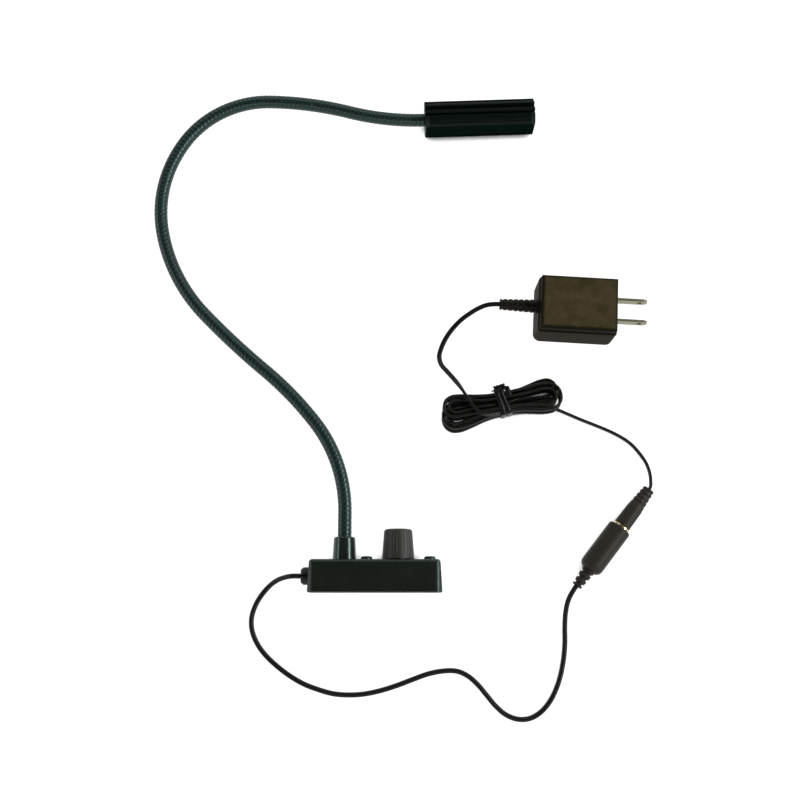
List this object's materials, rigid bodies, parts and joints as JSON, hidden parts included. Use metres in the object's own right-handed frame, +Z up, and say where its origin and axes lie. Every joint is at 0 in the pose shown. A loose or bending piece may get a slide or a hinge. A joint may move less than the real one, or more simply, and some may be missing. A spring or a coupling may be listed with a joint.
{
  "type": "gooseneck lamp",
  "caption": "Small gooseneck lamp: dimmer base with knob, ribbed flexible neck, finned LED head, and a lead with an in-line plug, a hank and a wall adapter, lying on its side.",
  "frame": {"origin": "centre of the base's side face that lies on the table", "axes": "+X along the base towards its knob end, +Y up the lamp from the base to the neck, +Z up off the table"},
  "size_m": [0.2943, 0.3729, 0.026],
  "materials": {
    "base_plastic": "fine-textured black moulding",
    "plate_metal": "black painted plate",
    "screw_black": "black oxide screws",
    "steel": "plain plated hardware",
    "board": "circuit board",
    "chip_plastic": "moulded electronic parts",
    "pot_metal": "pressed dimmer body",
    "knob_plastic": "satin black knob",
    "collar_plastic": "glossy black collar",
    "bushing_plastic": "black nylon bushing",
    "neck_metal": "satin black flexible metal hose",
    "wire": "insulated wire pair",
    "head_metal": "black anodised extrusion",
    "cap_plastic": "black end caps",
    "led_white": "white strip board",
    "led_yellow": "phosphor",
    "frame_plastic": "black lens frame",
    "lens_clear": "smoked clear strip",
    "cord_pvc": "black flexible cord",
    "jack_pvc": "black moulded connector",
    "brass": "plated brass contact",
    "barrel": "nickel plated contact",
    "tie_pvc": "black tie",
    "adapter_plastic": "black moulding with a warm tint",
    "blade_brass": "plated brass blades",
    "core_iron": "laminated core",
    "copper": "varnished winding"
  },
  "bodies": {
    "base": {"base_housing": "base_plastic", "base_plate": "plate_metal", "plate_screws": "screw_black", "board_screws": "screw_black", "board_spacers": "steel", "board_nuts": "steel", "dimmer_board": "board", "board_parts": "chip_plastic", "dimmer_pot": "pot_metal", "pot_nut": "steel", "cord_bushing": "bushing_plastic", "neck_collar": "collar_plastic", "collar_nut": "steel", "gooseneck_foot": "neck_metal", "neck_wire": "wire", "lamp_lead": "cord_pvc", "jack_body": "jack_pvc", "jack_relief": "jack_pvc", "jack_sleeve": "brass", "jack_pin": "brass"},
    "dimmer": {"pot_shaft": "steel", "knob": "knob_plastic"},
    "neck_1": {"gooseneck_1": "neck_metal"},
    "neck_2": {"gooseneck_2": "neck_metal"},
    "neck_3": {"gooseneck_3": "neck_metal"},
    "neck_4": {"gooseneck_4": "neck_metal"},
    "neck_5": {"gooseneck_5": "neck_metal"},
    "neck_6": {"gooseneck_6": "neck_metal"},
    "neck_7": {"gooseneck_7": "neck_metal"},
    "neck_8": {"gooseneck_8": "neck_metal", "heat_sink": "head_metal", "rear_cap": "cap_plastic", "front_cap": "cap_plastic", "head_screws": "screw_black", "led_board": "led_white", "leds": "led_yellow", "lens_frame": "frame_plastic", "lens": "lens_clear"},
    "supply": {"plug_barrel": "barrel", "plug_body": "jack_pvc", "plug_relief": "jack_pvc", "plug_lead": "cord_pvc", "cord_hank": "cord_pvc", "adapter_lead": "cord_pvc", "hank_tie": "tie_pvc", "adapter_case": "adapter_plastic", "adapter_cover": "adapter_plastic", "adapter_blades": "blade_brass", "adapter_relief": "jack_pvc", "adapter_board": "board", "transformer_core": "core_iron", "transformer_coil": "copper"}
  },
  "joints": [
    {"name": "dimmer_turn", "type": "hinge", "parent": "base", "child": "dimmer", "pos_m": [0.01298, 0.018, 0.011], "axis": [0, 1, 0], "range_deg": [-140, 140]},
    {"name": "neck_bend_1", "type": "hinge", "parent": "base", "child": "neck_1", "pos_m": [-0.01733, 0.0358, 0.011], "axis": [0, 0, 1], "range_deg": [-20, 20], "deforming": ["neck_wire"]},
    {"name": "neck_bend_2", "type": "hinge", "parent": "neck_1", "child": "neck_2", "pos_m": [-0.03522, 0.08778, 0.011], "axis": [0, 0, 1], "range_deg": [-20, 20]},
    {"name": "neck_bend_3", "type": "hinge", "parent": "neck_2", "child": "neck_3", "pos_m": [-0.06504, 0.11866, 0.011], "axis": [0, 0, 1], "range_deg": [-20, 20]},
    {"name": "neck_bend_4", "type": "hinge", "parent": "neck_3", "child": "neck_4", "pos_m": [-0.10159, 0.15274, 0.011], "axis": [0, 0, -1], "range_deg": [-20, 20]},
    {"name": "neck_bend_5", "type": "hinge", "parent": "neck_4", "child": "neck_5", "pos_m": [-0.12937, 0.20611, 0.011], "axis": [0, 0, -1], "range_deg": [-20, 20]},
    {"name": "neck_bend_6", "type": "hinge", "parent": "neck_5", "child": "neck_6", "pos_m": [-0.11771, 0.2634, 0.011], "axis": [0, 0, -1], "range_deg": [-20, 20]},
    {"name": "neck_bend_7", "type": "hinge", "parent": "neck_6", "child": "neck_7", "pos_m": [-0.06666, 0.28998, 0.011], "axis": [0, 0, -1], "range_deg": [-20, 20]},
    {"name": "neck_bend_8", "type": "hinge", "parent": "neck_7", "child": "neck_8", "pos_m": [-0.01727, 0.28304, 0.011], "axis": [0, 0, 1], "range_deg": [-20, 20]},
    {"name": "plug_pull", "type": "slide", "parent": "base", "child": "supply", "axis": [0.6225, 0.7826, 0], "range_m": [0, 0.011]}
  ]
}
